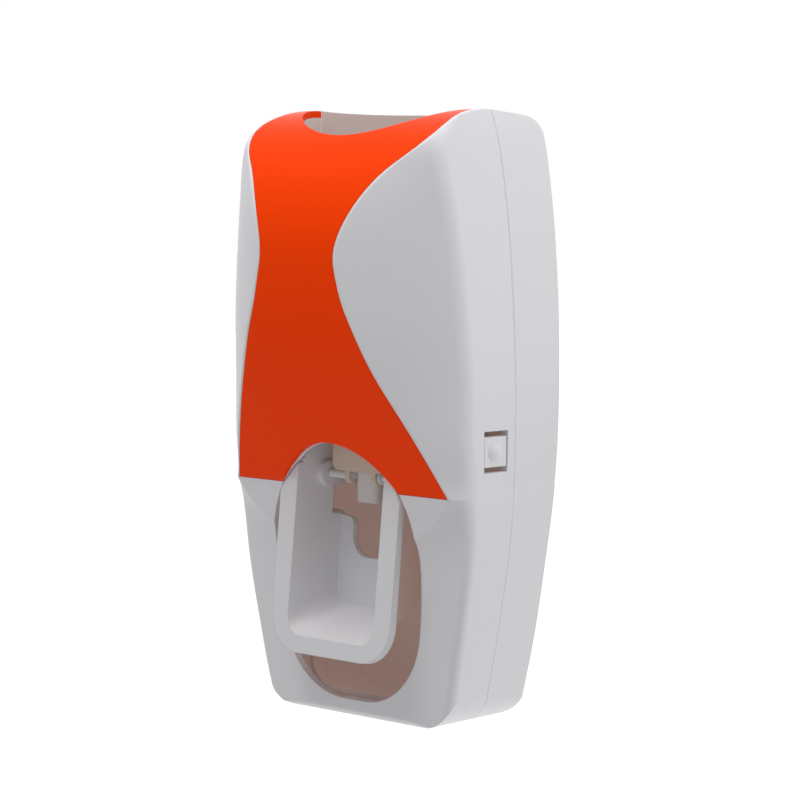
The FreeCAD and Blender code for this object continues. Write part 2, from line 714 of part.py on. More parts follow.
# The rear housing
def seam_lip():
    """The inner lip that the cover slips over."""
    inner = body_solid(WALL + LIP_CLEARANCE + LIP_WALL, WALL + LIP_CLEARANCE + LIP_WALL,
                       SKIN + LIP_CLEARANCE + LIP_WALL)
    free = body_solid(WALL + LIP_CLEARANCE, WALL + LIP_CLEARANCE, SKIN + LIP_CLEARANCE)
    seated = body_solid(WALL / 2, WALL / 2, SKIN / 2)
    ahead = free.cut(inner).common(box(-LIMIT, LIMIT, SEAM_Y - LIP_LENGTH, SEAM_Y, 0, LIMIT))
    behind = seated.cut(inner).common(box(-LIMIT, LIMIT, SEAM_Y, SEAM_Y + LIP_LENGTH / 2, 0, LIMIT))
    return ahead.fuse(behind)


def screw_places():
    heights = (CHASSIS_BOTTOM_Z + SCREW_INSET, CHASSIS_TOP_Z - SCREW_INSET)
    return [(x, z) for x in (-SCREW_X, SCREW_X) for z in heights]


def keyhole(x):
    """A round hole for the stud's head, and a neck slot above it to hang from."""
    start = BACK_Y - OVERRUN / 2
    through = OVERRUN
    entry = rod(KEYHOLE_HEAD_RADIUS, Vector(x, start, KEYHOLE_Z), Y_AXIS, through)
    neck_end = rod(KEYHOLE_NECK_RADIUS, Vector(x, start, KEYHOLE_Z + KEYHOLE_TRAVEL), Y_AXIS, through)
    neck = box(x - KEYHOLE_NECK_RADIUS, x + KEYHOLE_NECK_RADIUS, start, start + through,
               KEYHOLE_Z, KEYHOLE_Z + KEYHOLE_TRAVEL)
    return entry.fuse(neck_end).fuse(neck)


def rear_housing(body, cavity):
    shell = body.common(box(-LIMIT, LIMIT, SEAM_Y, LIMIT, 0, LIMIT)).cut(cavity)
    _, slot = tube_slot()
    collar = half_ellipse(SLOT_REAR_DEPTH, COLLAR_WALL, COLLAR_BOTTOM_Z, LIMIT).common(body)
    posts = [rod(POST_RADIUS, Vector(x, CHASSIS_BACK_Y, z), Y_AXIS, BACK_Y - WALL / 2 - CHASSIS_BACK_Y)
             for x, z in screw_places()]
    room = half_ellipse(-SLOT_FRONT_DEPTH, COLLAR_WALL + LIP_CLEARANCE,
                        COLLAR_BOTTOM_Z - OVERRUN, LIMIT + OVERRUN)
    shell = join([shell, seam_lip().cut(room), collar] + posts).cut(slot)
    for x, z in screw_places():
        hole = rod(SCREW_RADIUS + PILOT_CLEARANCE, Vector(x, CHASSIS_BACK_Y - OVERRUN, z), Y_AXIS,
                   OVERRUN + SCREW_LENGTH - CHASSIS_THICKNESS + PILOT_CLEARANCE)
        shell = shell.cut(hole)
    for x in (-KEYHOLE_X, KEYHOLE_X):
        shell = shell.cut(keyhole(x))
    return shell


# The push lever with its cup for the brush
def cup_wire(depth, grow, rise):
    """The cup's open outline at a depth behind the rim, grown by a wall."""
    share = depth / CUP_DEPTH
    half = CUP_HALF_WIDTH + (CUP_REAR_HALF_WIDTH - CUP_HALF_WIDTH) * share + grow
    floor = PIVOT_Z - CUP_DROP - (CUP_REAR_DROP - CUP_DROP) * share - grow
    radius = CUP_RADIUS + grow
    return trough_wire(half, floor, PIVOT_Z + rise, radius, PIVOT_Y - RIM_OFFSET + depth)


def trough_wire(half, floor, top, radius, depth):
    inner = half - radius
    edges = [
        line("front", (-inner, floor), (inner, floor), depth),
        arc("front", (inner, floor + radius), radius, -90, 0, depth),
        line("front", (half, floor + radius), (half, top), depth),
        line("front", (half, top), (-half, top), depth),
        line("front", (-half, top), (-half, floor + radius), depth),
        arc("front", (-inner, floor + radius), radius, 180, 270, depth),
    ]
    return Part.Wire(edges)


def cup_cutout():
    """The back wall and the corners beside it are cut away in two steps, clear of the outlet."""
    rear = PIVOT_Y - RIM_OFFSET + CUP_DEPTH
    outer = CUP_HALF_WIDTH + CUP_WALL
    low = PIVOT_Z - CUTOUT_DROP
    step = PIVOT_Z - CUTOUT_STEP_DROP
    top = PIVOT_Z + LEVER_RISE + OVERRUN
    corner = (CUTOUT_HALF_WIDTH - CUTOUT_RADIUS, low + CUTOUT_RADIUS)
    bend = (CUTOUT_HALF_WIDTH + CUTOUT_BEND_RADIUS, step - CUTOUT_BEND_RADIUS)
    shoulder = (outer - NOTCH_RADIUS, step + NOTCH_RADIUS)
    right = [
        arc("front", corner, CUTOUT_RADIUS, -90, 0),
        line("front", (CUTOUT_HALF_WIDTH, corner[1]), (CUTOUT_HALF_WIDTH, bend[1])),
        arc("front", bend, CUTOUT_BEND_RADIUS, 180, 90),
        line("front", (bend[0], step), (shoulder[0], step)),
        arc("front", shoulder, NOTCH_RADIUS, -90, 0),
        line("front", (outer, shoulder[1]), (outer, top)),
    ]
    left = [mirror(edge) for edge in reversed(right)]
    bottom = line("front", (-corner[0], low), (corner[0], low))
    lid = line("front", (outer, top), (-outer, top))
    return prism("front", [bottom] + right + [lid] + left, rear - NOTCH_DEPTH, rear + CUP_WALL * 2)


def cam_arm():
    """An arm behind the pivot that lifts the pump's yoke."""
    tip = (PIVOT_Y + CAM_ARM_REACH, PIVOT_Z + CAM_ARM_RISE - CAM_TIP_RADIUS)
    root = (PIVOT_Y + BOSS_RADIUS, PIVOT_Z)
    rise = math.degrees(math.atan2(tip[1] - root[1], tip[0] - root[0]))
    reach = math.hypot(tip[0] - root[0], tip[1] - root[1])
    slant = math.degrees(math.asin((BOSS_RADIUS - CAM_TIP_RADIUS) / reach))
    upper = rise + 90 - slant
    lower = rise - 90 + slant
    edges = [
        arc("side", root, BOSS_RADIUS, upper, lower + 360),
        line("side", on_circle(root, BOSS_RADIUS, lower), on_circle(tip, CAM_TIP_RADIUS, lower)),
        arc("side", tip, CAM_TIP_RADIUS, lower, upper),
        line("side", on_circle(tip, CAM_TIP_RADIUS, upper), on_circle(root, BOSS_RADIUS, upper)),
    ]
    return prism("side", edges, CAM_ARM_OUTER_X - CAM_ARM_THICKNESS, CAM_ARM_OUTER_X)


def turned(shape, angle):
    """The shape turned about the lever's pivot."""
    copy = shape.copy()
    copy.rotate(Vector(0, PIVOT_Y, PIVOT_Z), X_AXIS, angle)
    return copy


def lever_keep_out():
    """The cover's wall round its opening, with clearance, which the lever stays out of."""
    gap = LEVER_OPENING_CLEARANCE
    outside = box(-LIMIT, LIMIT, -LIMIT, LIMIT, OPENING_BOTTOM_Z, PIVOT_Z + LEVER_RISE + OVERRUN)
    wall = outside.cut(body_profile(WALL + gap, SKIN + gap))
    return wall.common(box(-LIMIT, LIMIT, -LIMIT, SEAM_Y, 0, LIMIT)).cut(front_opening(gap))


def push_lever():
    rim_y = PIVOT_Y - RIM_OFFSET
    top = PIVOT_Z + LEVER_RISE
    rim = Part.Face(trough_wire(RIM_HALF_WIDTH, PIVOT_Z - RIM_DROP, top, RIM_RADIUS, rim_y))
    rim = rim.extrude(Y_AXIS * RIM_THICKNESS)
    rear = CUP_DEPTH + CUP_WALL
    outer_wires = [cup_wire(depth, CUP_WALL, LEVER_RISE) for depth in (0, rear)]
    inner_wires = [cup_wire(depth, 0, OVERRUN) for depth in (-CUP_WALL, CUP_DEPTH)]
    outside = Part.makeLoft(outer_wires, True, True)
    inside = Part.makeLoft(inner_wires, True, True)
    cup = join([rim, outside]).cut(inside).cut(cup_cutout())
    wall_x = CUP_HALF_WIDTH + (CUP_REAR_HALF_WIDTH - CUP_HALF_WIDTH) * RIM_OFFSET / CUP_DEPTH
    boss = rod(BOSS_RADIUS, Vector(wall_x - BOSS_LENGTH, PIVOT_Y, PIVOT_Z), X_AXIS, BOSS_LENGTH + CUP_WALL)
    cup = turned(cup, -LEVER_TILT)
    lever = join([cup, both_sides(boss), both_sides(cam_arm())])
    bore = rod(PIN_RADIUS + PIN_CLEARANCE, Vector(-LIMIT, PIVOT_Y, PIVOT_Z), X_AXIS, 2 * LIMIT)
    lever = lever.cut(bore)
    keep_out = lever_keep_out()
    for angle in (0, LEVER_SWING / 2, LEVER_SWING):
        lever = lever.cut(turned(keep_out, -angle))
    return lever


def right_pivot_pin():
    pin = rod(PIN_RADIUS, Vector(EAR_INNER_X, PIVOT_Y, PIVOT_Z), X_AXIS, PIN_OUTER_X - EAR_INNER_X)
    collar_x = EAR_INNER_X + EAR_THICKNESS
    return pin.fuse(rod(PIN_COLLAR_RADIUS, Vector(collar_x, PIVOT_Y, PIVOT_Z), X_AXIS, PIN_COLLAR_LENGTH))


# The pump and the outlet over the cup
def nozzle_block():
    edges = rounded_edges("front", -BLOCK_HALF_WIDTH, BLOCK_HALF_WIDTH,
                          BLOCK_BOTTOM_Z, SHELF_TOP_Z + BLOCK_RADIUS, BLOCK_RADIUS)
    block = prism("front", edges, BLOCK_FRONT_Y, BLOCK_FRONT_Y + BLOCK_DEPTH)
    block = block.common(box(-LIMIT, LIMIT, 0, LIMIT, 0, SHELF_TOP_Z))
    lug = rod(EAR_RADIUS, Vector(EAR_INNER_X, PIVOT_Y, PIVOT_Z), X_AXIS, EAR_THICKNESS)
    web = box(EAR_INNER_X, EAR_INNER_X + EAR_THICKNESS, PIVOT_Y - EAR_RADIUS, PIVOT_Y + EAR_RADIUS,
              PIVOT_Z, BLOCK_BOTTOM_Z)
    ear = lug.fuse(web).cut(rod(PIN_RADIUS + PIN_CLEARANCE, Vector(0, PIVOT_Y, PIVOT_Z), X_AXIS, LIMIT))
    duct = rod(DUCT_RADIUS, Vector(0, SPOUT_Y, 0), Z_AXIS, LIMIT)
    seat = rod(PIN_COLLAR_RADIUS + FIT_GAP, Vector(EAR_INNER_X + EAR_THICKNESS, PIVOT_Y, PIVOT_Z), X_AXIS,
               PIN_COLLAR_LENGTH + FIT_GAP)
    return join([block, both_sides(ear)]).cut(duct).cut(both_sides(seat))


def flat_tube(half_width, half_depth, low, high):
    edges = rounded_edges("plan", -half_width, half_width, SPOUT_Y - half_depth, SPOUT_Y + half_depth,
                          half_depth * FLAT_ROUND_SHARE)
    return prism("plan", edges, low, high)


def outlet_spout():
    low = BLOCK_BOTTOM_Z - SPOUT_DROP
    outside = flat_tube(SPOUT_HALF_WIDTH, SPOUT_HALF_DEPTH, low, BLOCK_BOTTOM_Z)
    bore = flat_tube(SPOUT_BORE_HALF_WIDTH, SPOUT_BORE_HALF_DEPTH, low - OVERRUN, BLOCK_BOTTOM_Z + OVERRUN)
    return outside.cut(bore)


def outlet_valve():
    """A soft sleeve pinched to a slit at the end of the spout."""
    low = BLOCK_BOTTOM_Z - SPOUT_DROP
    half_width = SPOUT_BORE_HALF_WIDTH - SEAL_CLEARANCE
    sleeve = flat_tube(half_width, SPOUT_BORE_HALF_DEPTH - SEAL_CLEARANCE, low, low + SPOUT_DROP / 3)
    slit = box(-half_width / 2, half_width / 2, SPOUT_Y - SEAL_CLEARANCE, SPOUT_Y + SEAL_CLEARANCE,
               low - OVERRUN, LIMIT)
    return sleeve.cut(slit)


def manifold():
    """The block that leads the paste from the tube to the bellows and on to the outlet."""
    rear = CHASSIS_FRONT_Y - FIT_GAP
    edges = rounded_edges("plan", -MANIFOLD_HALF_WIDTH, MANIFOLD_HALF_WIDTH, MANIFOLD_FRONT_Y, rear,
                          MANIFOLD_RADIUS)
    plate = prism("plan", edges, SHELF_TOP_Z, MANIFOLD_TOP_Z)
    socket = rod(SOCKET_RADIUS, Vector(0, SOCKET_Y, MANIFOLD_TOP_Z), Z_AXIS, SOCKET_HEIGHT)
    spigot = rod(SPIGOT_RADIUS + BELLOWS_WALL, Vector(0, BELLOWS_Y, SHELF_TOP_Z - SPIGOT_LENGTH), Z_AXIS,
                 SPIGOT_LENGTH)
    shape = join([plate, socket, spigot])
    middle = SHELF_TOP_Z + MANIFOLD_HEIGHT / 2
    shape = shape.cut(rod(SOCKET_BORE_RADIUS, Vector(0, SOCKET_Y, MANIFOLD_TOP_Z), Z_AXIS, LIMIT))
    shape = shape.cut(rod(PASTE_BORE_RADIUS, Vector(0, SOCKET_Y, middle), Z_AXIS, LIMIT))
    shape = shape.cut(rod(SPIGOT_RADIUS, Vector(0, BELLOWS_Y, 0), Z_AXIS, middle))
    shape = shape.cut(rod(DUCT_RADIUS, Vector(0, SPOUT_Y, 0), Z_AXIS, middle))
    shape = shape.cut(rod(SPIGOT_RADIUS, Vector(0, SPOUT_Y, middle), Y_AXIS, BELLOWS_Y - SPOUT_Y))
    for x in (-GUIDE_X, GUIDE_X):
        shape = shape.cut(rod(GUIDE_RADIUS + GUIDE_CLEARANCE, Vector(x, YOKE_Y, 0), Z_AXIS, LIMIT))
    for x, y in manifold_screw_places():
        shape = shape.cut(rod(SCREW_RADIUS + SCREW_HOLE_CLEARANCE, Vector(x, y, 0), Z_AXIS, LIMIT))
    return shape


def revolved(corners, centre_y):
    """A closed outline of radius and height, turned about an upright axis."""
    points = [Vector(radius, 0, height) for radius, height in corners]
    face = Part.Face(Part.makePolygon(points + points[:1]))
    shape = face.revolve(Vector(0, 0, 0), Z_AXIS, 360)
    shape.translate(Y_AXIS * centre_y)
    return shape


def pump_bellows():
    """A thin folded cup, closed below and open to the manifold above."""
    low = YOKE_TOP_Z
    pitch = (SHELF_TOP_Z - low) / (2 * BELLOWS_COUNT)
    outer = [(BELLOWS_RADIUS - BELLOWS_FOLD * (step % 2), low + pitch * step)
             for step in range(2 * BELLOWS_COUNT + 1)]
    inner = [(radius - BELLOWS_WALL, height) for radius, height in outer]
    floor = low + BELLOWS_WALL
    inner = [(radius, max(height, floor)) for radius, height in reversed(inner)]
    return revolved([(0, low)] + outer + inner + [(0, floor)], BELLOWS_Y)


def pump_yoke():
    """The bar that the lever's arms lift, with a disc under the bellows and two guide stems."""
    disc = rod(YOKE_DISC_RADIUS, Vector(0, BELLOWS_Y, YOKE_BOTTOM_Z), Z_AXIS, YOKE_THICKNESS)
    edges = rounded_edges("plan", -YOKE_HALF_WIDTH, YOKE_HALF_WIDTH, YOKE_Y - YOKE_HALF_DEPTH,
                          YOKE_Y + YOKE_HALF_DEPTH, YOKE_HALF_DEPTH / 2)
    bar = prism("plan", edges, YOKE_BOTTOM_Z, YOKE_TOP_Z)
    reach = SHELF_TOP_Z + GUIDE_REACH - YOKE_BOTTOM_Z
    places = (-GUIDE_X, GUIDE_X)
    stems = [rod(GUIDE_RADIUS, Vector(x, YOKE_Y, YOKE_BOTTOM_Z), Z_AXIS, reach) for x in places]
    return join([disc, bar] + stems)


def spring_tube(x):
    low = YOKE_TOP_Z + SPRING_SEAT_GAP
    height = SHELF_TOP_Z - SHELF_THICKNESS - SPRING_SEAT_GAP - low
    outside = rod(SPRING_RADIUS + SPRING_WIRE_RADIUS, Vector(x, YOKE_Y, low), Z_AXIS, height)
    return outside.cut(rod(SPRING_RADIUS - SPRING_WIRE_RADIUS, Vector(x, YOKE_Y, low), Z_AXIS, height))


# The tube's seat
def inlet_valve():
    """A soft disc with a flap, between the tube's seal and the paste bore."""
    radius = SOCKET_BORE_RADIUS - SEAL_CLEARANCE
    disc = rod(radius, Vector(0, SOCKET_Y, MANIFOLD_TOP_Z), Z_AXIS, VALVE_THICKNESS)
    outer = rod(VALVE_RADIUS, Vector(0, SOCKET_Y, MANIFOLD_TOP_Z), Z_AXIS, VALVE_THICKNESS)
    seat = Vector(0, SOCKET_Y, MANIFOLD_TOP_Z)
    flap = rod(VALVE_RADIUS - VALVE_THICKNESS / 2, seat, Z_AXIS, VALVE_THICKNESS)
    hinge = box(-VALVE_THICKNESS, VALVE_THICKNESS, SOCKET_Y, LIMIT, 0, LIMIT)
    return disc.cut(outer.cut(flap).cut(hinge))


def tube_seal():
    """A soft sleeve with inner lips that grip the neck of the tube."""
    low = MANIFOLD_TOP_Z + VALVE_THICKNESS
    high = SOCKET_TOP_Z
    pitch = (high - low) / SEAL_LIP_COUNT
    outer = SOCKET_BORE_RADIUS - SEAL_CLEARANCE
    bore = []
    for index in range(SEAL_LIP_COUNT):
        start = high - pitch * index
        bore += [(SEAL_BORE_RADIUS, start), (SEAL_BORE_RADIUS, start - pitch + 2 * SEAL_LIP_HEIGHT),
                 (SEAL_LIP_RADIUS, start - pitch + SEAL_LIP_HEIGHT), (SEAL_BORE_RADIUS, start - pitch)]
    return revolved([(outer, low), (outer, high)] + bore, SOCKET_Y)


def seal_ring():
    """A ribbed cap ring that holds the seal down on its socket."""
    bore = SOCKET_RADIUS + SEAL_CLEARANCE
    outer = bore + RING_WALL
    top = SOCKET_TOP_Z + RING_TOP
    low = top - RING_HEIGHT
    ring = revolved([(bore, low), (outer, low), (outer, top), (RING_BORE_RADIUS, top),
                     (RING_BORE_RADIUS, SOCKET_TOP_Z), (bore, SOCKET_TOP_Z)], SOCKET_Y)
    ribs = []
    for index in range(RING_RIB_COUNT):
        x, y = on_circle((0, SOCKET_Y), outer, 360 * index / RING_RIB_COUNT)
        ribs.append(rod(RING_RIB_RADIUS, Vector(x, y, low), Z_AXIS, RING_HEIGHT - RING_TOP))
    return join([ring] + ribs)


# What carries the pump
def manifold_screw_places():
    return [(x, y) for x in (-MANIFOLD_SCREW_X, MANIFOLD_SCREW_X)
            for y in (MANIFOLD_SCREW_FRONT_Y, MANIFOLD_SCREW_REAR_Y)]


def pump_chassis():
    edges = rounded_edges("front", -CHASSIS_HALF_WIDTH, CHASSIS_HALF_WIDTH, CHASSIS_BOTTOM_Z, CHASSIS_TOP_Z,
                          CHASSIS_RADIUS)
    back = prism("front", edges, CHASSIS_FRONT_Y, CHASSIS_BACK_Y)
    shelf_low = SHELF_TOP_Z - SHELF_THICKNESS
    edges = rounded_edges("plan", -GUSSET_X - GUSSET_THICKNESS / 2, GUSSET_X + GUSSET_THICKNESS / 2,
                          MANIFOLD_FRONT_Y, CHASSIS_BACK_Y, SHELF_THICKNESS)
    shelf = prism("plan", edges, shelf_low, SHELF_TOP_Z)
    corners = [(CHASSIS_FRONT_Y, CHASSIS_BOTTOM_Z + CHASSIS_RADIUS), (CHASSIS_FRONT_Y, shelf_low),
               (SOCKET_Y, shelf_low), (SOCKET_Y, shelf_low - SHELF_THICKNESS)]
    gusset = polygon("side", corners, GUSSET_X - GUSSET_THICKNESS / 2, GUSSET_X + GUSSET_THICKNESS / 2)
    shape = join([back, shelf, both_sides(gusset)])
    shape = shape.cut(box(-BLOCK_HALF_WIDTH - FIT_GAP, BLOCK_HALF_WIDTH + FIT_GAP, 0,
                          BLOCK_FRONT_Y + BLOCK_DEPTH + FIT_GAP, shelf_low, SHELF_TOP_Z))
    seat = Vector(0, BELLOWS_Y, shelf_low)
    shape = shape.cut(rod(BELLOWS_RADIUS + FIT_GAP, seat, Z_AXIS, SHELF_THICKNESS))
    for x in (-GUIDE_X, GUIDE_X):
        shape = shape.cut(rod(GUIDE_RADIUS + GUIDE_CLEARANCE, Vector(x, YOKE_Y, 0), Z_AXIS, LIMIT))
    for x, y in manifold_screw_places():
        shape = shape.cut(rod(SCREW_RADIUS + PILOT_CLEARANCE, Vector(x, y, 0), Z_AXIS, LIMIT))
    for x, z in screw_places():
        shape = shape.cut(rod(SCREW_RADIUS + SCREW_HOLE_CLEARANCE, Vector(x, 0, z), Y_AXIS, LIMIT))
    return shape


def screw(length):
    """A pan head screw, head up at the origin, with a cross in its head."""
    head = rod(SCREW_HEAD_RADIUS, Vector(0, 0, 0), Z_AXIS, SCREW_HEAD_HEIGHT)
    head = head.fuse(rod(SCREW_RADIUS, Vector(0, 0, -length), Z_AXIS, length))
    half, wide = CROSS_LENGTH / 2, CROSS_WIDTH / 2
    floor = SCREW_HEAD_HEIGHT - CROSS_DEPTH
    head = head.cut(box(-half, half, -wide, wide, floor, SCREW_HEAD_HEIGHT))
    return head.cut(box(-wide, wide, -half, half, floor, SCREW_HEAD_HEIGHT))


def chassis_screws():
    screws = []
    for x, z in screw_places():
        piece = screw(SCREW_LENGTH)
        piece.rotate(Vector(0, 0, 0), X_AXIS, 90)
        piece.translate(Vector(x, CHASSIS_FRONT_Y, z))
        screws.append(piece)
    return Part.makeCompound(screws)


def manifold_screws():
    screws = []
    for x, y in manifold_screw_places():
        piece = screw(MANIFOLD_SCREW_LENGTH)
        piece.translate(Vector(x, y, MANIFOLD_TOP_Z))
        screws.append(piece)
    return Part.makeCompound(screws)


# The wall bracket and its pads
def wall_bracket():
    edges = rounded_edges("front", -BRACKET_HALF_WIDTH, BRACKET_HALF_WIDTH, BRACKET_BOTTOM_Z, BRACKET_TOP_Z,
                          BRACKET_RADIUS)
    plate = prism("front", edges, BRACKET_FRONT_Y, BRACKET_BACK_Y)
    stud_z = KEYHOLE_Z + KEYHOLE_TRAVEL
    head_back = BACK_Y - WALL - STUD_CLEARANCE
    pieces = [plate]
    for x in (-KEYHOLE_X, KEYHOLE_X):
        neck = Vector(x, head_back, stud_z)
        pieces.append(rod(STUD_NECK_RADIUS, neck, Y_AXIS, BRACKET_BACK_Y - head_back))
        pieces.append(rod(STUD_HEAD_RADIUS, Vector(x, head_back - STUD_HEAD_THICKNESS, stud_z), Y_AXIS,
                          STUD_HEAD_THICKNESS))
    shape = join(pieces)
    for side in (-1, 1):
        z = BRACKET_MIDDLE_Z + side * BRACKET_SCREW_SPACING / 2
        shape = shape.cut(rod(BRACKET_HOLE_RADIUS, Vector(0, 0, z), Y_AXIS, LIMIT))
        shape = shape.cut(rod(BRACKET_COUNTERBORE_RADIUS, Vector(0, BRACKET_FRONT_Y, z), Y_AXIS,
                              BRACKET_COUNTERBORE_DEPTH))
    return shape


def adhesive_pad():
    edges = rounded_edges("front", -PAD_HALF_WIDTH, PAD_HALF_WIDTH, BRACKET_MIDDLE_Z - PAD_HEIGHT / 2,
                          BRACKET_MIDDLE_Z + PAD_HEIGHT / 2, PAD_RADIUS)
    return prism("front", edges, BRACKET_BACK_Y, WALL_FACE_Y)


def build():
    body = body_solid()
    cavity = body_solid(WALL, WALL, SKIN)
    latch = right_latch(body, cavity)
    pin = right_pivot_pin()
    spring = spring_tube(GUIDE_X)
    return {
        "front_cover": front_cover(body, cavity),
        "face_plate": face_plate(body),
        "right_latch": latch,
        "left_latch": mirror(latch),
        "rear_housing": rear_housing(body, cavity),
        "push_lever": push_lever(),
        "right_pivot_pin": pin,
        "left_pivot_pin": mirror(pin),
        "nozzle_block": nozzle_block(),
        "outlet_spout": outlet_spout(),
        "outlet_valve": outlet_valve(),
        "manifold": manifold(),
        "pump_bellows": pump_bellows(),
        "pump_yoke": pump_yoke(),
        "right_return_spring": spring,
        "left_return_spring": mirror(spring),
        "inlet_valve": inlet_valve(),
        "tube_seal": tube_seal(),
        "seal_ring": seal_ring(),
        "pump_chassis": pump_chassis(),
        "chassis_screws": chassis_screws(),
        "manifold_screws": manifold_screws(),
        "wall_bracket": wall_bracket(),
        "adhesive_pad": adhesive_pad(),
    }


def main():
    os.makedirs("parts", exist_ok=True)
    for name, shape in build().items():
        shape.translate(Vector(0, -WALL_FACE_Y, -BRACKET_MIDDLE_Z))
        shape.exportStep("parts/" + name + ".step")
        print(name, len(shape.Solids), round(shape.Volume))


if __name__ == "__main__":
    main()
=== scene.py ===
"""The looks of a wall-hung toothpaste dispenser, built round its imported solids.

Metres, with +Z up, the wall at Y = 0 and the front towards -Y.
"""

import json
import math

import bpy
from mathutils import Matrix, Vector


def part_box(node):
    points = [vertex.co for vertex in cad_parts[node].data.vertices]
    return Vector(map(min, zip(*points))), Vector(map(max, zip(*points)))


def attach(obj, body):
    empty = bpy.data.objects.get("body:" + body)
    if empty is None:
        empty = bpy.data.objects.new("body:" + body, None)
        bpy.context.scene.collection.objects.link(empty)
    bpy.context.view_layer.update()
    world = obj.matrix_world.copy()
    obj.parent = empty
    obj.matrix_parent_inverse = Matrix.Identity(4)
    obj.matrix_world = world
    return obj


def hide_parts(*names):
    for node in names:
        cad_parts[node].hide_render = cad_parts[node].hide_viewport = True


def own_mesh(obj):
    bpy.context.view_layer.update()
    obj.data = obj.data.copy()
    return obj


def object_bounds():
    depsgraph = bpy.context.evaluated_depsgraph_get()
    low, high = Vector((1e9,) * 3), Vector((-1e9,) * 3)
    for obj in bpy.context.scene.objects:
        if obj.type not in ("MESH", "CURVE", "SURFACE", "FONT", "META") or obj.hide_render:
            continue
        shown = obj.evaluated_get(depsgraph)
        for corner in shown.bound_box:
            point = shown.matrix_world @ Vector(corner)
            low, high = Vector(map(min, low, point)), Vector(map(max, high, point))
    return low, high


bl_info = {
    "name": "Toothpaste dispenser",
    "version": (1, 0, 0),
    "blender": (4, 5, 0),
    "location": "View3D > Sidebar > Dispenser",
    "description": "Dresses the solids with finishes and wound springs, and sets the stage",
    "category": "Object",
}

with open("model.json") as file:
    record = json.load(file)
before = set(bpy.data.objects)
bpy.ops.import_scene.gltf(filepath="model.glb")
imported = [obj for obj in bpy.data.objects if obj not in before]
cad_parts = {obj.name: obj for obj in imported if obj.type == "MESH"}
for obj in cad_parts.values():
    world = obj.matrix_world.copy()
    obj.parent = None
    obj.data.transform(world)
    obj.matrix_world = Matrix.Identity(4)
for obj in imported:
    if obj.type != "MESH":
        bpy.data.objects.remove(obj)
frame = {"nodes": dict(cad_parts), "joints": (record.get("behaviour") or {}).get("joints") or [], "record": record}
SOLIDS_LOW, SOLIDS_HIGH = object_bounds()
COVER_LOW, COVER_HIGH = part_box("front_cover")

BODY_OF = {
    node: body
    for body, nodes in frame["record"]["behaviour"]["bodies"].items()
    for node in nodes
}
SLOT_OF = {part["node"]: part["material_slot"] for part in frame["record"]["subparts"]}

SPRING_NODES = ("right_return_spring", "left_return_spring")
BELLOWS_NODE = "pump_bellows"
YOKE_JOINT = next(joint for joint in frame["joints"] if joint["name"] == "yoke_lift")
YOKE_TRAVEL = max(YOKE_JOINT["range_m"])
LEVER_JOINT = next(joint for joint in frame["joints"] if joint["name"] == "lever_push")

# Faces that look towards this line take a painted warm shade and glow
# The upright line that the body's inner faces look towards: how far its ends are
# from the foot and from the roof, and how far in front of such a face it is at least
LINE_INSET_BELOW = 0.030
LINE_INSET_ABOVE = 0.040
AHEAD_LEAST = 0.001

# The edge faces of the cover's front opening: heights above the foot, half the width,
# the depth behind the cover's foremost point, and the most that they face forward
OPENING_SILL = 0.0035
OPENING_TOP = 0.074
OPENING_HALF_WIDTH = 0.029
OPENING_DEPTH = 0.0225
OPENING_FACING = 0.6

# The housing's rim, which takes a painted glow that lightens the seam's shade: how far behind the cover it may
# lie, and how far it faces forward
SEAM_REACH = 0.0004
SEAM_FACING = -0.9

# The cup's outside behind its rim takes the painted warm shade and glow too
# The lever's cup, measured from the lever's pivot: how far it leans, the depth of its
# rim's rear side, and how far below the pivot its round foot is centred
CUP_TILT = math.radians(5.7)
CUP_RIM_REAR = -0.0069
CUP_MIDDLE_DROP = 0.025

# Places of the finishes on a white moulding: the white, a painted warm shade with glow, and the rim's painted glow
WHITE_PLACE, PAINTED_SHADE_PLACE, SEAM_GLOW_PLACE = range(3)

NOISE_MIDDLE = 0.5
GRAIN_DEPTH = 0.00005
FULL = 1.0
WHITE = (1.0, 1.0, 1.0, 1.0)
MIX_FACTOR, MIX_FIRST, MIX_SECOND = 0, 6, 7
MIX_RESULT = 2
BACKGROUND_RAYS = ("Is Camera Ray", "Is Glossy Ray", "Is Transmission Ray")

WELD_DISTANCE = 0.00001
SMOOTH_BELOW = math.radians(28)
WIRE_SIDES = 10

VIEW_AZIMUTH = math.radians(46.809)
VIEW_DROP = math.radians(4.471)
VIEW_DISTANCE = 0.87
VIEW_TARGET = Vector((-0.01332, -0.00614, -0.00922))
LENS_MM = 145.84
SENSOR_MM = 36.0
CLIP_START = 0.01

# Each lamp's name, the setting that holds its power, its place and its side
LAMPS = (
    ("Overhead lamp", "overhead_power", Vector((0, -0.15, 1.5)), 1.0),
    ("Brow lamp", "brow_power", Vector((-0.1, -0.3, 0.6)), 0.3),
    ("Side lamp", "side_power", Vector((0.45, 0, 0.5)), 0.4),
    ("Rear lamp", "rear_power", Vector((0.7, 0.5, 0.15)), 0.5),
)


# Shader nodes

class Level:
    """A value that varies over a surface, written with Python's own arithmetic."""

    def __init__(self, nodes, socket):
        self.nodes = nodes
        self.socket = socket

    def joined(self, operation, first, second):
        settings = {"operation": operation}
        return self.nodes.level("ShaderNodeMath", settings, {0: first, 1: second})

    def __add__(self, other):
        return self.joined("ADD", self, other)

    def __radd__(self, other):
        return self.joined("ADD", other, self)

    def __sub__(self, other):
        return self.joined("SUBTRACT", self, other)

    def __rsub__(self, other):
        return self.joined("SUBTRACT", other, self)

    def __mul__(self, other):
        return self.joined("MULTIPLY", self, other)

    def __rmul__(self, other):
        return self.joined("MULTIPLY", other, self)

    def or_more(self, other):
        return self.joined("MAXIMUM", self, other)


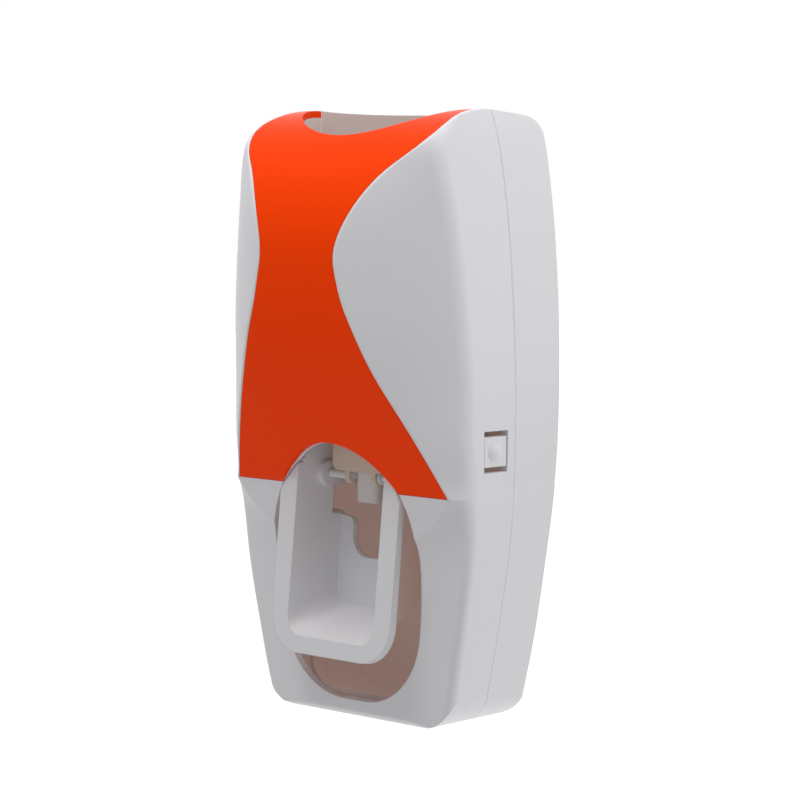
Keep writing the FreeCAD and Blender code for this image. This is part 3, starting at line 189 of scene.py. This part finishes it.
class Nodes:
    """A node tree that is filled one node at a time."""

    def __init__(self, tree):
        self.tree = tree
        self.tree.nodes.clear()

    def node(self, kind, settings, inputs):
        made = self.tree.nodes.new(kind)
        for name, value in settings.items():
            setattr(made, name, value)
        for name, value in inputs.items():
            if isinstance(value, Level):
                self.tree.links.new(value.socket, made.inputs[name])
            else:
                made.inputs[name].default_value = value
        return made

    def level(self, kind, settings, inputs, output=0):
        return Level(self, self.node(kind, settings, inputs).outputs[output])

    def background_rays(self):
        """1 where the camera looks, straight, in a gloss or through glass, and 0 elsewhere."""
        camera, glossy, through = (
            self.level("ShaderNodeLightPath", {}, {}, ray) for ray in BACKGROUND_RAYS)
        return camera.or_more(glossy.or_more(through))


class Finish(Nodes):
    """A material on the object's own coordinates."""

    def __init__(self, name):
        self.material = bpy.data.materials.new(name)
        self.material.use_nodes = True
        super().__init__(self.material.node_tree)

    def place(self):
        return self.level("ShaderNodeTexCoord", {}, {}, "Object")

    def noise(self, scale, detail=2.0):
        inputs = {"Vector": self.place(), "Scale": scale, "Detail": detail}
        return self.level("ShaderNodeTexNoise", {}, inputs, "Fac")

    def blend(self, factor, first, second):
        inputs = {MIX_FACTOR: factor, MIX_FIRST: (*first, FULL), MIX_SECOND: (*second, FULL)}
        return self.level("ShaderNodeMix", {"data_type": "RGBA"}, inputs, MIX_RESULT)

    def soft_edges(self, radius):
        return self.level("ShaderNodeBevel", {"samples": 6}, {"Radius": radius})

    def grain(self, height, strength, distance, normal):
        inputs = {"Strength": strength, "Distance": distance, "Height": height, "Normal": normal}
        return self.level("ShaderNodeBump", {}, inputs)

    def surface(self, inputs):
        shader = self.level("ShaderNodeBsdfPrincipled", {}, inputs)
        self.node("ShaderNodeOutputMaterial", {}, {"Surface": shader})
        return self.material


def shaded(colour, share):
    return tuple(channel * share for channel in colour)


def uneven(middle, noise, spread):
    return middle + (noise - NOISE_MIDDLE) * spread


def moulded_plastic(name, colour, shade, roughness, specular, edge_radius):
    """Moulded plastic with faint flow marks, a slightly uneven gloss and softened edges."""
    finish = Finish(name)
    flow = finish.noise(scale=18.0)
    fine = finish.noise(scale=900.0)
    edges = finish.soft_edges(edge_radius)
    return finish.surface({
        "Base Color": finish.blend(flow, shaded(colour, shade), colour),
        "Roughness": uneven(roughness, fine, spread=0.06),
        "Specular IOR Level": specular,
        "Normal": finish.grain(fine, strength=0.05, distance=GRAIN_DEPTH, normal=edges),
    })


def plate_plastic(name, colour, glow):
    """The plate's plastic, which has a faint gloss and a painted glow in its own colour."""
    finish = Finish(name)
    flow = finish.noise(scale=14.0)
    fine = finish.noise(scale=700.0)
    edges = finish.soft_edges(radius=0.0004)
    return finish.surface({
        "Base Color": finish.blend(flow, shaded(colour, share=0.96), colour),
        "Roughness": uneven(0.24, fine, spread=0.05),
        "IOR": 1.10,
        # Painted glow in the plate's own colour
        "Emission Color": (*glow, FULL),
        "Emission Strength": FULL,
        "Normal": finish.grain(fine, strength=0.04, distance=GRAIN_DEPTH, normal=edges),
    })


def painted_glow_walls(name, colour, glow):
    """Unpolished faces with a painted glow; on the body's inner faces their colour is a painted warm shade as
    well.
    """
    finish = Finish(name)
    cloud = finish.noise(scale=25.0)
    return finish.surface({
        "Base Color": finish.blend(cloud, shaded(colour, share=0.95), colour),
        "Roughness": uneven(0.55, cloud, spread=0.1),
        "Specular IOR Level": 0.2,
        # Painted glow: the faces give off light though they are no lamp
        "Emission Color": (*glow, FULL),
        "Emission Strength": FULL,
        "Normal": finish.soft_edges(radius=0.0003),
    })


def soft_silicone(name, colour):
    """Cloudy silicone that lets a little light in."""
    finish = Finish(name)
    cloud = finish.noise(scale=120.0)
    return finish.surface({
        "Base Color": finish.blend(cloud, shaded(colour, share=0.9), colour),
        "Roughness": uneven(0.5, cloud, spread=0.15),
        "Subsurface Weight": 0.15,
        "Subsurface Radius": (0.002, 0.002, 0.002),
        "Normal": finish.soft_edges(radius=0.0003),
    })


def drawn_steel(name, colour):
    """Steel with the fine marks of drawing and turning."""
    finish = Finish(name)
    marks = finish.noise(scale=1400.0, detail=4.0)
    return finish.surface({
        "Base Color": finish.blend(marks, shaded(colour, share=0.86), colour),
        "Metallic": FULL,
        "Roughness": uneven(0.36, marks, spread=0.16),
        "Normal": finish.soft_edges(radius=0.00015),
    })


def cell_foam(name, colour):
    """Foam with small open cells."""
    finish = Finish(name)
    inputs = {"Vector": finish.place(), "Scale": 1600.0}
    cells = finish.level("ShaderNodeTexVoronoi", {"feature": "F1"}, inputs, "Distance")
    edges = finish.soft_edges(radius=0.0003)
    return finish.surface({
        "Base Color": finish.blend(cells, shaded(colour, share=0.6), colour),
        "Roughness": 0.95,
        "Normal": finish.grain(cells, strength=0.5, distance=0.0002, normal=edges),
    })


# Which faces take which finish: the white, or a painted warm shade or glow

def faces_inward(face):
    """Whether a face of the shell looks towards the upright line in the middle of the seam."""
    low = SOLIDS_LOW.z + LINE_INSET_BELOW
    high = SOLIDS_HIGH.z - LINE_INSET_ABOVE
    nearest = Vector((0, COVER_HIGH.y, min(max(face.center.z, low), high)))
    return (nearest - face.center).dot(face.normal) > AHEAD_LEAST


def edges_opening(face):
    """Whether a face of the cover is one of the edge faces of its front opening."""
    height = face.center.z - SOLIDS_LOW.z
    ahead = face.center.y < COVER_LOW.y + OPENING_DEPTH
    within = abs(face.center.x) < OPENING_HALF_WIDTH and OPENING_SILL < height < OPENING_TOP
    return ahead and within and abs(face.normal.y) < OPENING_FACING


# The faces found here take a painted glow that lightens the shade in the seam
def shows_in_seam(face):
    """Whether a face of the housing is the rim that shows through the gap of the seam."""
    behind_cover = face.center.y - COVER_HIGH.y
    return face.normal.y < SEAM_FACING and 0 < behind_cover < SEAM_REACH


def inside_cover(face):
    return faces_inward(face) and not edges_opening(face)


# These faces are the white lever's own plastic, but they take the painted warm shade
def behind_cup(face):
    """Whether a face is on the outside of the lever's cup, behind its rim."""
    reach = face.center - Vector(LEVER_JOINT["pos_m"])
    depth = reach.y * math.cos(CUP_TILT) - reach.z * math.sin(CUP_TILT)
    outward = Vector((reach.x, 0, min(reach.z + CUP_MIDDLE_DROP, 0)))
    return depth > CUP_RIM_REAR and outward.dot(face.normal) > AHEAD_LEAST


# Faces that take the painted warm shade and glow in place of the white
PAINTED_SHADE_FACES = {
    "front_cover": inside_cover,
    "rear_housing": faces_inward,
    "push_lever": behind_cup,
}


# Mesh helpers

def select_only(obj):
    bpy.ops.object.select_all(action="DESELECT")
    obj.select_set(True)
    bpy.context.view_layer.objects.active = obj


def edit_all_of_it():
    """Opens the active mesh for editing with all of it selected."""
    bpy.ops.object.mode_set(mode="EDIT")
    bpy.ops.mesh.select_all(action="SELECT")


def leave_edit():
    bpy.ops.object.mode_set(mode="OBJECT")


def paint(obj, *materials):
    obj.data.materials.clear()
    for material in materials:
        obj.data.materials.append(material)


def stand_for(obj, node):
    """Puts a piece in the place of a solid, on the same body."""
    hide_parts(node)
    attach(obj, BODY_OF[node])


def shorten_from_below(obj, node):
    """Works out the share of a piece's height that stays as the yoke rises, and gives the piece its own mesh; the
    share is not used.
    """
    low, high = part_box(node)
    keep = 1 - YOKE_TRAVEL / (high.z - low.z)
    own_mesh(obj)


# Settings that a user would change

class DispenserColours(bpy.types.PropertyGroup):
    """Colours of the finishes, and of the painted warm shade and painted glows"""

    white: bpy.props.FloatVectorProperty(
        name="White", description="Colour of the cover, housing, lever, latches and pins",
        subtype="COLOR", default=(0.80, 0.80, 0.83))
    # Painted warm shade: the white plastic's colour as it looks in the dim warm light inside the body
    inside: bpy.props.FloatVectorProperty(
        name="Inside", description="Colour of the walls inside the body",
        subtype="COLOR", default=(0.66, 0.60, 0.58))
    # Painted warm glow given off by the faces that take the painted shade
    glow: bpy.props.FloatVectorProperty(
        name="Glow", description="Warm light that the inner walls pass on",
        subtype="COLOR", default=(0.085, 0.055, 0.046))
    # Painted glow that lightens the seam's shade on the housing's rim
    seam_glow: bpy.props.FloatVectorProperty(
        name="Seam glow", description="Light that the housing's rim gives back in the seam",
        subtype="COLOR", default=(0.25, 0.25, 0.25))
    orange: bpy.props.FloatVectorProperty(
        name="Orange", description="Colour of the face plate",
        subtype="COLOR", default=(0.98, 0.055, 0.0))
    # Painted glow that the face plate gives off in its own colour
    orange_glow: bpy.props.FloatVectorProperty(
        name="Orange glow", description="Light that the face plate gives back in its own colour",
        subtype="COLOR", default=(0.09, 0.003, 0.0))
    cream: bpy.props.FloatVectorProperty(
        name="Cream", description="Colour of the nozzle block",
        subtype="COLOR", default=(0.69, 0.57, 0.48))
    grey: bpy.props.FloatVectorProperty(
        name="Grey", description="Colour of the pump's mouldings and the wall bracket",
        subtype="COLOR", default=(0.74, 0.72, 0.71))
    silicone: bpy.props.FloatVectorProperty(
        name="Silicone", description="Colour of the tube's seal, the valves and the bellows",
        subtype="COLOR", default=(0.75, 0.74, 0.72))
    steel: bpy.props.FloatVectorProperty(
        name="Steel", description="Colour of the springs and screws",
        subtype="COLOR", default=(0.62, 0.62, 0.64))
    foam: bpy.props.FloatVectorProperty(
        name="Foam", description="Colour of the adhesive pad",
        subtype="COLOR", default=(0.30, 0.30, 0.31))


class DispenserSprings(bpy.types.PropertyGroup):
    """Sizes of the return springs"""

    wire_radius: bpy.props.FloatProperty(
        name="Wire radius", description="Half the thickness of the springs' wire",
        unit="LENGTH", default=0.0004)
    turns: bpy.props.IntProperty(
        name="Turns", description="Number of turns in each spring", default=6)
    steps: bpy.props.IntProperty(
        name="Steps", description="Straight steps in one turn", default=24)


class DispenserStage(bpy.types.PropertyGroup):
    """Sizes and strengths of the floor and the lights"""

    floor_drop: bpy.props.FloatProperty(
        name="Floor drop", description="Height of the dispenser above the floor",
        unit="LENGTH", default=0.35)
    floor_half: bpy.props.FloatProperty(
        name="Floor half side", description="Half the side of the floor",
        unit="LENGTH", default=6.0)
    floor_colour: bpy.props.FloatVectorProperty(
        name="Floor colour", description="Colour of the floor",
        subtype="COLOR", default=(0.9, 0.9, 0.9))
    floor_level: bpy.props.FloatProperty(
        name="Floor level", description="Brightness that the camera sees added to the floor",
        default=0.9)
    room_level: bpy.props.FloatProperty(
        name="Room level", description="Strength of the room's even light", default=0.31)
    overhead_power: bpy.props.FloatProperty(
        name="Overhead lamp", description="Power of the broad lamp high above",
        unit="POWER", default=8.3)
    brow_power: bpy.props.FloatProperty(
        name="Brow lamp", description="Power of the near lamp above the front",
        unit="POWER", default=1.5)
    side_power: bpy.props.FloatProperty(
        name="Side lamp", description="Power of the near lamp above the right side",
        unit="POWER", default=0.8)
    rear_power: bpy.props.FloatProperty(
        name="Rear lamp", description="Power of the lamp behind the right side",
        unit="POWER", default=1.85)


# Operators

class DISPENSER_OT_white_mouldings(bpy.types.Operator):
    """Gives the white mouldings their finish, their inner faces a painted warm shade and glow, and the housing's
    rim a painted glow in the seam
    """

    bl_idname = "dispenser.white_mouldings"
    bl_label = "White mouldings"

    def execute(self, context):
        colours = context.scene.dispenser_colours
        white = moulded_plastic(
            "White plastic", colours.white,
            shade=0.975, roughness=0.38, specular=0.35, edge_radius=0.0005)
        # Painted warm shade and glow for the inner faces, and a painted glow that lightens the seam's shade on the
        # housing's rim
        inside = painted_glow_walls("Inner walls", colours.inside, colours.glow)
        rim = painted_glow_walls("Seam rim", colours.white, colours.seam_glow)
        for node, slot in SLOT_OF.items():
            if slot == "white_plastic":
                second = (inside,) if node in PAINTED_SHADE_FACES else ()
                paint(frame["nodes"][node], white, *second)
        for node, takes_painted_shade in PAINTED_SHADE_FACES.items():
            for face in frame["nodes"][node].data.polygons:
                face.material_index = PAINTED_SHADE_PLACE if takes_painted_shade(face) else WHITE_PLACE
        housing = frame["nodes"]["rear_housing"].data
        housing.materials.append(rim)
        for face in housing.polygons:
            if shows_in_seam(face):
                face.material_index = SEAM_GLOW_PLACE
        return {"FINISHED"}


class DISPENSER_OT_face_plate(bpy.types.Operator):
    """Gives the face plate its orange finish"""

    bl_idname = "dispenser.face_plate"
    bl_label = "Face plate"

    def execute(self, context):
        colours = context.scene.dispenser_colours
        orange = plate_plastic("Orange plastic", colours.orange, colours.orange_glow)
        paint(frame["nodes"]["face_plate"], orange)
        return {"FINISHED"}


class DISPENSER_OT_pump(bpy.types.Operator):
    """Gives the pump, the seals, the screws, the bracket and its pad their finishes"""

    bl_idname = "dispenser.pump"
    bl_label = "Pump and fixings"

    def execute(self, context):
        colours = context.scene.dispenser_colours
        finishes = {
            "cream_plastic": moulded_plastic(
                "Cream plastic", colours.cream,
                shade=0.95, roughness=0.5, specular=0.3, edge_radius=0.0004),
            "grey_plastic": moulded_plastic(
                "Grey plastic", colours.grey,
                shade=0.95, roughness=0.45, specular=0.3, edge_radius=0.0004),
            "silicone": soft_silicone("Silicone", colours.silicone),
            "steel": drawn_steel("Steel", colours.steel),
            "foam": cell_foam("Foam", colours.foam),
        }
        for node, slot in SLOT_OF.items():
            if slot in finishes and node not in SPRING_NODES + (BELLOWS_NODE,):
                paint(frame["nodes"][node], finishes[slot])
        return {"FINISHED"}


class DISPENSER_OT_bellows(bpy.types.Operator):
    """Makes the pump's folded cup as a welded, smoothly shaded copy of its solid"""

    bl_idname = "dispenser.bellows"
    bl_label = "Bellows"

    def execute(self, context):
        folds = frame["nodes"][BELLOWS_NODE].data.copy()
        bellows = bpy.data.objects.new("pump_bellows_folds", folds)
        context.scene.collection.objects.link(bellows)
        select_only(bellows)
        edit_all_of_it()
        bpy.ops.mesh.remove_doubles(threshold=WELD_DISTANCE)
        leave_edit()
        bpy.ops.object.shade_smooth_by_angle(angle=SMOOTH_BELOW)
        colour = context.scene.dispenser_colours.silicone
        paint(bellows, soft_silicone("Bellows silicone", colour))
        stand_for(bellows, BELLOWS_NODE)
        shorten_from_below(bellows, BELLOWS_NODE)
        return {"FINISHED"}


class DISPENSER_OT_return_springs(bpy.types.Operator):
    """Winds the two return springs"""

    bl_idname = "dispenser.return_springs"
    bl_label = "Return springs"

    def execute(self, context):
        steel = drawn_steel("Spring wire", context.scene.dispenser_colours.steel)
        for node in SPRING_NODES:
            spring = self.wound(context, node)
            spring.name = node + "_coil"
            paint(spring, steel)
            stand_for(spring, node)
            shorten_from_below(spring, node)
        return {"FINISHED"}

    def wound(self, context, node):
        """Winds a round end face of the wire upwards in the box of the spring's solid."""
        settings = context.scene.dispenser_springs
        low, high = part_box(node)
        middle = (low + high) / 2
        coil_radius = (high.x - low.x) / 2 - settings.wire_radius
        bpy.ops.object.select_all(action="DESELECT")
        bpy.ops.mesh.primitive_circle_add(
            vertices=WIRE_SIDES, radius=settings.wire_radius, fill_type="NGON",
            rotation=(math.pi / 2, 0, 0))
        spring = context.object
        bpy.ops.object.transform_apply(rotation=True)
        edit_all_of_it()
        bpy.ops.transform.translate(value=(coil_radius, 0, 0))
        leave_edit()
        winding = spring.modifiers.new("Winding", "SCREW")
        winding.axis = "Z"
        winding.angle = math.tau * settings.turns
        winding.screw_offset = high.z - low.z - 2 * settings.wire_radius
        winding.steps = settings.steps * settings.turns
        winding.render_steps = winding.steps
        bpy.ops.object.modifier_apply(modifier=winding.name)
        edit_all_of_it()
        bpy.ops.mesh.remove_doubles(threshold=WELD_DISTANCE)
        bpy.ops.mesh.normals_make_consistent(inside=False)
        bpy.ops.transform.translate(value=(middle.x, middle.y, low.z + settings.wire_radius))
        leave_edit()
        bpy.ops.object.shade_smooth()
        return spring


class DISPENSER_OT_stage(bpy.types.Operator):
    """Sets the floor, the lights and the camera"""

    bl_idname = "dispenser.stage"
    bl_label = "Stage"

    def execute(self, context):
        settings = context.scene.dispenser_stage
        self.lay_floor(context, settings)
        self.light_room(context, settings)
        for name, power, place, side in LAMPS:
            self.hang_lamp(context, name, getattr(settings, power), place, side)
        self.set_camera(context)
        context.scene.view_settings.view_transform = "Standard"
        return {"FINISHED"}

    def lay_floor(self, context, settings):
        bpy.ops.object.select_all(action="DESELECT")
        height = SOLIDS_LOW.z - settings.floor_drop
        bpy.ops.mesh.primitive_plane_add(size=2 * settings.floor_half, location=(0, 0, height))
        floor = context.object
        floor.name = "Floor"
        finish = Finish("Floor")
        speckle = finish.noise(scale=3.0)
        colour = settings.floor_colour
        paint(floor, finish.surface({
            "Base Color": finish.blend(speckle, shaded(colour, share=0.985), colour),
            "Roughness": 0.8,
            "Emission Color": WHITE,
            "Emission Strength": finish.background_rays() * settings.floor_level,
        }))

    def light_room(self, context, settings):
        """Lights the object evenly, and shows white behind it."""
        world = bpy.data.worlds.new("Room")
        world.use_nodes = True
        context.scene.world = world
        room = Nodes(world.node_tree)
        levels = {
            "Value": room.background_rays(),
            "To Min": settings.room_level,
            "To Max": FULL,
        }
        strength = room.level("ShaderNodeMapRange", {}, levels, "Result")
        light = room.level("ShaderNodeBackground", {}, {"Color": WHITE, "Strength": strength})
        room.node("ShaderNodeOutputWorld", {}, {"Surface": light})

    def hang_lamp(self, context, name, power, place, side):
        data = bpy.data.lights.new(name, "AREA")
        data.energy = power
        data.size = side
        lamp = bpy.data.objects.new(name, data)
        context.scene.collection.objects.link(lamp)
        middle = (SOLIDS_LOW + SOLIDS_HIGH) / 2
        lamp.location = place
        lamp.rotation_euler = (middle - place).to_track_quat("-Z", "Y").to_euler()

    def set_camera(self, context):
        data = bpy.data.cameras.new("Camera")
        data.lens = LENS_MM
        data.sensor_width = SENSOR_MM
        data.clip_start = CLIP_START
        camera = bpy.data.objects.new("Camera", data)
        context.scene.collection.objects.link(camera)
        level = math.cos(VIEW_DROP)
        back = Vector((
            math.sin(VIEW_AZIMUTH) * level,
            -math.cos(VIEW_AZIMUTH) * level,
            math.sin(VIEW_DROP),
        ))
        camera.location = VIEW_TARGET + back * VIEW_DISTANCE
        camera.rotation_euler = (-back).to_track_quat("-Z", "Y").to_euler()
        context.scene.camera = camera


class DISPENSER_PT_panel(bpy.types.Panel):
    """The dispenser's sizes, colours and steps"""

    bl_label = "Toothpaste dispenser"
    bl_idname = "DISPENSER_PT_panel"
    bl_space_type = "VIEW_3D"
    bl_region_type = "UI"
    bl_category = "Dispenser"

    def draw(self, context):
        for group in GROUPS:
            settings = getattr(context.scene, group)
            for name in settings.bl_rna.properties.keys():
                if name not in ("rna_type", "name"):
                    self.layout.prop(settings, name)
        for operator in OPERATORS:
            self.layout.operator(operator.bl_idname)


GROUPS = {
    "dispenser_colours": DispenserColours,
    "dispenser_springs": DispenserSprings,
    "dispenser_stage": DispenserStage,
}
OPERATORS = (
    DISPENSER_OT_white_mouldings,
    DISPENSER_OT_face_plate,
    DISPENSER_OT_pump,
    DISPENSER_OT_bellows,
    DISPENSER_OT_return_springs,
    DISPENSER_OT_stage,
)


def register():
    for name, group in GROUPS.items():
        bpy.utils.register_class(group)
        setattr(bpy.types.Scene, name, bpy.props.PointerProperty(type=group))
    for operator in OPERATORS:
        bpy.utils.register_class(operator)
    bpy.utils.register_class(DISPENSER_PT_panel)


def unregister():
    bpy.utils.unregister_class(DISPENSER_PT_panel)
    for operator in reversed(OPERATORS):
        bpy.utils.unregister_class(operator)
    for name, group in GROUPS.items():
        delattr(bpy.types.Scene, name)
        bpy.utils.unregister_class(group)


def main():
    register()
    for operator in OPERATORS:
        group, name = operator.bl_idname.split(".")
        getattr(getattr(bpy.ops, group), name)()


if __name__ == "__main__":
    main()
